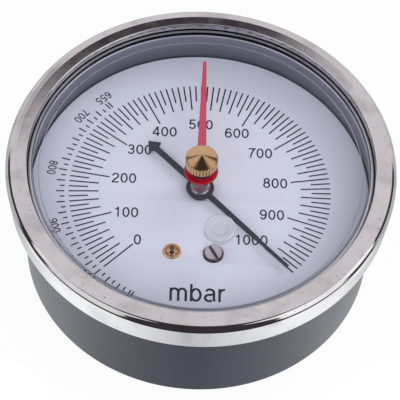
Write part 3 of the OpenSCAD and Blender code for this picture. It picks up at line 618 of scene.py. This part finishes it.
def set_hand():
    """Red hub, and a pointer whose blade grows out of a round eye under it."""
    hub_low, hub_high = low("set_hub").z, high("set_hub").z
    hub_r = high("set_hub").x
    bore = high("set_shaft").x
    section = rounded([(bore, hub_low, 0), (hub_r, hub_low, 0.15), (hub_r, hub_high, 0.25), (bore, hub_high, 0)], 4)
    lathe("set_disc", section, RED_HUB_SHADE, "set_hand", "red_paint", ["set_hub"])
    length = high("set_pointer").y
    half, tip = SET_W / 2, SET_TIP_W / 2
    eye = hub_r - 0.8
    root = math.degrees(math.asin(half * 0.98 / eye))
    outline = [Vector((length - tip, 0)) + polar(tip, -90 + 15 * k) for k in range(13)]
    outline += [polar(eye, root + (360 - 2 * root) * k / 48) for k in range(49)]
    points, faces = plate([turn(outline, SET_ANGLE), circle(bore, clockwise=True)],
                          low("set_pointer").z, high("set_pointer").z, 0.12)
    make_piece("set_blade", points, faces, [RED], "set_hand", "red_paint", ["set_pointer"])


# Indicating pointer

REST_ANGLE = -46.04
POINTER_LEN = 36.0
TAIL_LEN = 21.9
NEEDLE_ROOT = 23.1
EYE_R = 4.0


def indicating_pointer():
    """Needle, round eye, and tail bar with an arrow. The four widths are half-widths."""
    barb = TAIL_LEN - 2.89
    bar, root, needle, arrow = 0.88, 0.72, 0.52, 2.4
    join = math.degrees(math.asin(bar / EYE_R))
    upper = [Vector((POINTER_LEN, needle * 0.9)), Vector((NEEDLE_ROOT + 1.2, needle)), Vector((NEEDLE_ROOT, root))]
    eye_up = [polar(EYE_R, join + (180 - 2 * join) * k / 20) for k in range(21)]
    tail_up = [Vector((-barb + 0.85, bar)), Vector((-barb, arrow)), Vector((-TAIL_LEN, 0))]
    half = upper + eye_up + tail_up
    outline = half + [Vector((p.x, -p.y)) for p in reversed(half[:-1])]
    z = low("pointer").z
    points, faces = plate([turn(outline, REST_ANGLE), circle(2.2, clockwise=True)], z, high("pointer").z, 0.1)
    make_piece("pointer_blade", points, faces, [BLACK], "pointer", "pointer_black", ["pointer"])


def pointer_boss():
    """Turned boss riveted in the pointer's eye, with a dished top."""
    lower, top = low("pointer_hub").z, high("pointer_hub").z
    plate_top = high("pointer").z
    section = rounded([
        (0.77, lower, 0), (2.19, lower, 0.2), (2.19, plate_top, 0), (2.9, plate_top, 0.12), (2.9, top - 0.45, 0.1),
        (2.5, top, 0.15), (2.1, top, 0.1), (1.45, top - 0.5, 0.1), (0.77, top - 0.5, 0),
    ], 4)
    lathe("pointer_boss", section, STEEL, "pointer", "steel", ["pointer_hub"], steps=96)


# Dial: plate, scales, numbers

SWEEP = 0.27  # degrees for each mbar
ZERO_ANGLE = 225
TICK_W = 0.42
INK_H = 0.03
MAIN_OUT = 37.6
MAIN_IN_100, MAIN_IN_20, MAIN_IN_10 = 26.4, 29.0, 32.05
OUTER_IN = 38.8
OUTER_OUT_SHORT, OUTER_OUT_LONG = 40.15, 41.2


def dial_angle(value):
    return ZERO_ANGLE - SWEEP * value


def dial_plate():
    spots = [((0, 0), 3.1), (EYELET_PLACE, 1.6), (SCREW_PLACE, 3.0)]
    holes = [circle(radius, centre, 48, clockwise=True) for centre, radius in spots]
    points, faces = plate([circle(DIAL_R, steps=256), *holes], low("dial").z, FACE, 0.12)
    make_piece("dial_face", points, faces, [WHITE], "root", "dial_white", ["dial"])


def tick(inner, outer, angle, width):
    """Corners of a scale mark."""
    along, across = polar(1, angle), polar(width / 2, angle + 90)
    return [along * inner - across, along * outer - across, along * outer + across, along * inner + across]


def scale_marks():
    """Main scale from 0 to 1000 and the outer scale from 655 to 1065, which runs the other way."""
    marks = []
    for value in range(0, 1001, 10):
        inner = MAIN_IN_100 if value % 100 == 0 else MAIN_IN_20 if value % 20 == 0 else MAIN_IN_10
        marks.append([tick(inner, MAIN_OUT, dial_angle(value), TICK_W)])
    for value in [655, *range(660, 1061, 10), 1065]:
        outer = OUTER_OUT_SHORT if value % 20 == 10 else OUTER_OUT_LONG
        marks.append([tick(OUTER_IN, outer, dial_angle(1000 - value), TICK_W)])
    return marks


def ellipse(x, y, rx, ry, start, end, steps=20):
    """Points along an ellipse between two angles."""
    angles = [math.radians(start + (end - start) * k / steps) for k in range(steps + 1)]
    return [Vector((x + rx * math.cos(a), y + ry * math.sin(a))) for a in angles]


def line(*corners):
    return [Vector(c) for c in corners]


# Pen strokes of each character, in units of the digits' height, and how far the next character is
STROKES = {
    "0": (0.77, [ellipse(0.375, 0.5, 0.255, 0.445, 0, 360, 32)]),
    "1": (0.77, [line((0.18, 0.775), (0.30, 0.80), (0.385, 0.88), (0.42, 1.0)), line((0.44, 0.0), (0.44, 1.0))]),
    "2": (0.77, [ellipse(0.37, 0.695, 0.24, 0.25, 175, -35) + line(
        (0.44, 0.445), (0.31, 0.345), (0.19, 0.23), (0.125, 0.12), (0.115, 0.055), (0.65, 0.055))]),
    "3": (0.77, [ellipse(0.365, 0.735, 0.21, 0.21, 165, -85) + line((0.28, 0.523)),
                 ellipse(0.365, 0.29, 0.25, 0.237, 95, -165)]),
    "4": (0.77, [line((0.485, 0.985), (0.075, 0.27)), line((0.045, 0.27), (0.69, 0.27)),
                 line((0.51, 1.0), (0.51, 0.0))]),
    "5": (0.77, [line((0.62, 0.943), (0.205, 0.943), (0.145, 0.46)), ellipse(0.36, 0.32, 0.25, 0.265, 142, -160)]),
    "6": (0.77, [ellipse(0.38, 0.315, 0.25, 0.262, 0, 360, 28), ellipse(0.39, 0.48, 0.262, 0.465, 38, 195)]),
    "7": (0.77, [line((0.10, 0.943), (0.655, 0.943), (0.49, 0.72), (0.37, 0.45), (0.305, 0.2), (0.285, 0.0))]),
    "8": (0.77, [ellipse(0.38, 0.735, 0.21, 0.212, 0, 360, 28), ellipse(0.38, 0.285, 0.25, 0.237, 0, 360, 28)]),
    "9": (0.77, [ellipse(0.37, 0.685, 0.25, 0.262, 0, 360, 28), ellipse(0.36, 0.52, 0.262, 0.465, 218, 375)]),
    "m": (1.14, [line((0.13, 0.0), (0.13, 0.76)), ellipse(0.34, 0.50, 0.21, 0.215, 170, 0) + line((0.55, 0.0)),
                 ellipse(0.76, 0.50, 0.21, 0.215, 170, 0) + line((0.97, 0.0))]),
    "b": (0.80, [line((0.13, 0.0), (0.13, 1.0)), ellipse(0.39, 0.38, 0.255, 0.335, 0, 360, 28)]),
    "a": (0.78, [ellipse(0.37, 0.54, 0.225, 0.178, 160, 0) + line((0.595, 0.12), (0.66, 0.05)),
                 line((0.595, 0.44)) + ellipse(0.33, 0.225, 0.225, 0.18, 80, 315)]),
    "r": (0.46, [line((0.13, 0.0), (0.13, 0.76)), ellipse(0.39, 0.43, 0.26, 0.285, 175, 80)]),
}
PEN = 0.135


def stroke_quads(path, width):
    """Four-cornered pieces that cover a pen stroke with square ends and mitred bends."""
    loop = (path[0] - path[-1]).length < 1e-6
    if loop:
        path = path[:-1]
    count = len(path)
    sides = []
    for i, here in enumerate(path):
        before = path[i - 1] if loop or i else None
        after = path[(i + 1) % count] if loop or i < count - 1 else None
        a = (here - before).normalized() if before is not None else (after - here).normalized()
        b = (after - here).normalized() if after is not None else a
        left_a, left_b = Vector((-a.y, a.x)), Vector((-b.y, b.x))
        across = (left_a + left_b) * width / 2 / max(1 + left_a.dot(left_b), 0.35)
        sides.append((here - across, here + across))
    pairs = zip(sides, sides[1:] + sides[:1] if loop else sides[1:])
    return [[r0, r1, l1, l0] for (r0, l0), (r1, l1) in pairs]


def word(text, height, centre, angle=0.0, width=1.0, pen=PEN):
    """Quads of each character of a word on the dial, its middle at centre, its base turned by an angle."""
    total = sum(STROKES[c][0] for c in text)
    characters = []
    x = -total / 2
    for c in text:
        advance, strokes = STROKES[c]
        quads = []
        for path in strokes:
            moved = [Vector(((x + p.x) * width, p.y - 0.5)) * height for p in path]
            quads += [[Vector(centre) + p for p in turn(quad, angle)] for quad in stroke_quads(moved, pen * height)]
        characters.append(quads)
        x += advance
    return characters


MAIN_H = 3.35
OUTER_H = 2.5
OUTER_R = 43.1
UNIT_H = 5.7
UNIT_PLACE = (-0.3, -34.3)
MAIN_PLACES = {
    0: (-17.4, -17.1), 100: (-20.9, -7.9), 200: (-21.8, 3.9), 300: (-17.6, 14.1), 400: (-10.5, 20.75), 500: (0, 23.7),
    600: (10.5, 21.0), 700: (17.3, 14.1), 800: (21.65, 3.7), 900: (20.7, -7.3), 1000: (14.75, -16.1),
}


def dial_words():
    """Upright numbers of the main scale, those of the outer scale with their heads to the axis, and the unit."""
    marks = []
    for value, place in MAIN_PLACES.items():
        marks += word(str(value), MAIN_H, place, width=0.95)
    for value in (655, 700, 800, 900, 1000):
        angle = dial_angle(1000 - value)
        marks += word(str(value), OUTER_H, polar(OUTER_R, angle), angle + 90, width=0.88)
    marks += word("mbar", UNIT_H, UNIT_PLACE, width=0.88, pen=0.125)
    return marks


def covered(quads):
    """Flat points, and the triangles over them that cover all the overlapping quads once."""
    corners = [p for quad in quads for p in quad]
    edges = [(4 * i + k, 4 * i + (k + 1) % 4) for i in range(len(quads)) for k in range(4)]
    flat, _, tris, *_ = delaunay_2d_cdt(corners, edges, [], 0, 1e-6)

    def in_quad(p, quad):
        a, b, c, d = quad
        return intersect_point_tri_2d(p, a, b, c) or intersect_point_tri_2d(p, a, c, d)

    kept = []
    for tri in tris:
        centre = (flat[tri[0]] + flat[tri[1]] + flat[tri[2]]) / 3
        if any(in_quad(centre, quad) for quad in quads):
            kept.append(tri)
    return flat, kept


def ink(name, marks):
    """Printed marks on the dial's face. Each mark is a list of quads that may overlap."""
    parts = []
    for quads in marks:
        flat, tris = covered(quads)
        count = len(flat)
        points = [(p.x, p.y, FACE - 0.01) for p in flat] + [(p.x, p.y, FACE + INK_H) for p in flat]
        rims = {(tri[i - 1], tri[i]) for tri in tris for i in range(3)}
        walls = [(a, b, b + count, a + count) for a, b in rims if (b, a) not in rims]
        lids = [tuple(i + count for i in tri) for tri in tris] + [tuple(reversed(tri)) for tri in tris]
        parts.append((points, lids + sorted(walls)))
    make_piece(name, *joined(parts), [INK], "root", "pointer_black")


def eyelet():
    """Rolled brass eyelet, its funnel pinched by the six lobes of the setting tool."""
    x, y = EYELET_PLACE
    lower, top = low("dial_rivet").z, high("dial_rivet").z
    rim = high("dial_rivet").x - x

    def lobed(radius, z, depth):
        return lambda angle: (radius - depth * abs(math.sin(math.radians(3 * angle))), z)

    section = rounded([
        (0.6, lower, 0), (1.59, lower, 0.1), (1.59, FACE, 0), (rim, FACE, 0.1), (rim - 0.05, top - 0.12, 0.25),
        (rim - 0.75, top, 0.25), (1.85, top - 0.05, 0.12),
    ], 5)
    funnel = [lobed(1.65, FACE - 0.05, 0.2), lobed(1.25, FACE - 0.25, 0.35), lobed(0.7, FACE - 0.4, 0.1)]
    lathe("dial_eyelet", section + funnel, EYELET, "root", "knob_brass", ["dial_rivet"], (x, y), 96)


# Process stem

BORE_R = 1.75
PILOT_R = 3.0
THREAD_R = 10.4775
THREAD_END = 18
PITCH = 1.814
THREAD_DEPTH = 1.16
CHAMFER = 1.3
UNDERCUT_R = 8.98
HEX_LOW = 20
HEX_HIGH = 30
HEX_AF = high("process_stem").y * 2
COLLAR_R = 13
NECK_R = 7


def thread(z):
    """Row of the pipe thread: a helix of blunt threads, cut back at both chamfered ends."""
    room = min(z, THREAD_END - z)

    def row(angle):
        wave = abs((z / PITCH - angle / 360) % 1 * 2 - 1)
        depth = THREAD_DEPTH * min(max(wave * 1.3 - 0.15, 0), 1)
        return min(THREAD_R - depth, THREAD_R - CHAMFER + room), z

    return row


def hexagon(z, cut):
    """Row of the spanner hex, with its corners turned down to a radius."""
    return lambda angle: (min(HEX_AF / 2 / math.cos(math.radians(angle % 60 - 30)), cut), z)


def stem():
    """Threaded stem with its pilot, then the spanner hex, the collar against the case and the neck inside."""
    back, top = low("case").z, high("process_stem").z
    rows = [(BORE_R, STEM_END), (PILOT_R - 0.3, STEM_END), (PILOT_R, STEM_END + 0.3), (PILOT_R, 0)]
    steps = round(THREAD_END / PITCH * 12)
    rows += [thread(THREAD_END * k / steps) for k in range(steps + 1)]
    rows += [(UNDERCUT_R, THREAD_END + 0.3), (UNDERCUT_R, HEX_LOW), (BORE_R, HEX_LOW)]
    lathe("stem_thread", rows, BAR_BRASS, "root", "socket_brass", ["process_stem"], steps=96, sharp=40)
    corner = HEX_AF / 2 + 1.7
    rows = [(BORE_R, HEX_LOW), (HEX_AF / 2 - 0.3, HEX_LOW)]
    rows += [hexagon(HEX_LOW + 0.6 * h, HEX_AF / 2 + h) for h in (0, 0.3, 0.6, 0.9, 1.2, 1.5)]
    rows += [hexagon(HEX_LOW + 1.2, corner), hexagon(HEX_HIGH, corner), (COLLAR_R, HEX_HIGH), (COLLAR_R, back)]
    rows += [(NECK_R, back), (NECK_R, top), (BORE_R, top)]
    lathe("stem_hex", rows, BAR_BRASS, "root", "socket_brass", sharp=30)


# Floor, lamps and world

SHEET_EDGE = (-0.18, -0.14)  # metres in front of the axis, over which the mirrored sheet fades out
SHADOW_SHARE = 0.08


def make_floor():
    """White sheet with a faint shadow. Its mirror image ends a little way off in front, and is brighter at the
    sides than in the middle and half as bright behind. The places are in metres."""
    material, tree, shader = new_material("floor", Roughness=0.9)
    shader.inputs["Base Color"].default_value = rgba((0.93, 0.93, 0.94))
    path = add(tree, "ShaderNodeLightPath").outputs
    part = add(tree, "ShaderNodeSeparateXYZ", {0: object_space(tree)})
    near = ramp(tree, part.outputs[1], 0.03, 1.0, *SHEET_EDGE)
    side = ramp(tree, calc(tree, "ABSOLUTE", part.outputs[0]), 0.72, 1.15, 0.005, 0.06)
    behind = ramp(tree, part.outputs[1], 1.0, 0.5, -0.03, 0.02)
    seen = calc(tree, "MULTIPLY", near, calc(tree, "MULTIPLY", side, behind))
    strength = calc(tree, "MAXIMUM", seen, path["Is Camera Ray"])
    colour = mix_colour(tree, path["Is Camera Ray"], (0.95, 0.98, 1.0), (1, 1, 1))
    glow = add(tree, "ShaderNodeEmission", {"Color": colour, "Strength": strength}).outputs[0]
    mirrored = calc(tree, "MAXIMUM", path["Is Glossy Ray"], path["Is Transmission Ray"])
    direct = calc(tree, "MULTIPLY", path["Is Camera Ray"], 1 - SHADOW_SHARE)
    share = calc(tree, "MAXIMUM", direct, mirrored)
    mixed = add(tree, "ShaderNodeMixShader", {"Fac": share, 1: shader.outputs[0], 2: glow}).outputs[0]
    tree.links.new(mixed, tree.nodes["Material Output"].inputs["Surface"])
    bpy.ops.mesh.primitive_plane_add(size=8.0, location=(0, 0, STEM_END * MM))
    floor = bpy.context.object
    floor.name = "floor"
    floor.data.materials.append(material)


def lamp(name, azimuth, elevation, distance, width, height, watts, mirrored=True):
    """Area lamp that looks at the dial from an azimuth and an elevation, its distance and size in metres.
    mirrored says whether gloss shows it."""
    light = bpy.data.lights.new(name, "AREA")
    light.shape = "RECTANGLE"
    light.size, light.size_y = width, height
    light.energy = watts
    holder = bpy.data.objects.new(name, light)
    bpy.context.scene.collection.objects.link(holder)
    holder.visible_camera = False
    holder.visible_glossy = mirrored
    a, e = math.radians(azimuth), math.radians(elevation)
    away = Vector((math.cos(a) * math.cos(e), math.sin(a) * math.cos(e), math.sin(e)))
    holder.location = away * distance + Vector((0, 0, FACE * MM))
    holder.rotation_euler = away.to_track_quat("Z", "Y").to_euler()


def make_world():
    """Even grey light, white to the camera. What gloss mirrors of it is pale, but dark from overhead down to
    the horizon in front, low down at the sides, and in a short strip high up in the middle of the back."""
    world = bpy.data.worlds.new("studio")
    bpy.context.scene.world = world
    world.use_nodes = True
    tree = world.node_tree
    tree.nodes.clear()
    way = add(tree, "ShaderNodeTexCoord").outputs["Generated"]
    part = add(tree, "ShaderNodeSeparateXYZ", {0: way})
    path = add(tree, "ShaderNodeLightPath").outputs
    x, y, z = part.outputs
    front = ramp(tree, y, 1.0, 0.0, -0.02, 0.09)
    wide = ramp(tree, calc(tree, "ABSOLUTE", x), 0.0, 1.0, 0.24, 0.32)
    side = calc(tree, "MULTIPLY", ramp(tree, y, 1.0, 0.0, 0.56, 0.61), ramp(tree, z, 1.0, 0.0, 0.66, 0.74))
    side = calc(tree, "MULTIPLY", side, wide)
    high_up = calc(tree, "MULTIPLY", ramp(tree, z, 0.0, 1.0, 0.72, 0.75), ramp(tree, z, 1.0, 0.0, 0.797, 0.812))
    central = calc(tree, "MULTIPLY", ramp(tree, x, 1.0, 0.0, 0.05, 0.075), ramp(tree, x, 0.0, 1.0, -0.17, -0.12))
    strip = calc(tree, "MULTIPLY", central, high_up)
    dark = calc(tree, "MAXIMUM", calc(tree, "MAXIMUM", front, side), strip)
    mirrored = mix_colour(tree, dark, (0.73, 0.70, 0.715), (0.045, 0.035, 0.04))
    colour = mix_colour(tree, path["Is Glossy Ray"], (0.265, 0.265, 0.275), mirrored)
    colour = mix_colour(tree, path["Is Camera Ray"], colour, (1, 1, 1))
    lit = add(tree, "ShaderNodeBackground", {"Color": colour, "Strength": 1.0}).outputs[0]
    add(tree, "ShaderNodeOutputWorld", {"Surface": lit})


# CAD nodes that stay, and their finish

KEPT = {
    "case": CASE_PAINT, "blowout_plug": RUBBER, "socket_seal": RUBBER,
    "socket": BAR_BRASS, "restrictor": STEEL, "case_screws": STEEL,
    "channel_plug": STEEL, "set_shaft": STEEL, "set_spring_washer": STEEL, "adjusting_screw": SCREW,
    "pinion_arbor": STEEL, "sector_arbor": STEEL, "link": STEEL, "tail_pin": STEEL, "tip_pin": STEEL,
    "plate_screws": STEEL, "carrier_screws": STEEL, "carrier_plate": PLATE_BRASS, "front_plate": PLATE_BRASS,
    "plate_pillars": PLATE_BRASS, "dial_posts": PLATE_BRASS, "hairspring_collet": PLATE_BRASS,
    "hairspring_stud": PLATE_BRASS, "sector_gear": PLATE_BRASS, "tube_tip": PLATE_BRASS,
    "hairspring": BRONZE, "bourdon_tube": BRONZE,
}


def dress_nodes():
    for name, material in KEPT.items():
        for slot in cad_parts[name].material_slots:
            slot.material = material


bpy.context.scene.view_settings.view_transform = "Standard"
make_camera()
make_world()
make_floor()
lamp("key", 38, 46, 1.2, 0.6, 0.5, 2.6, mirrored=False)
lamp("over", -90, 80, 1.2, 0.5, 0.5, 2.7, mirrored=False)
lamp("left", 210, 33, 1.0, 1.0, 0.95, 2.4)
lamp("right", -24, 32, 1.0, 1.05, 0.95, 3.4)
lamp("front", -90, 37, 1.1, 1.2, 0.8, 6.8, mirrored=False)
dress_nodes()
bezel()
case_rim()
window()
plug()
gasket()
knob()
set_hand()
indicating_pointer()
pointer_boss()
dial_plate()
ink("dial_scale", scale_marks())
ink("dial_numbers", dial_words())
eyelet()
stem()
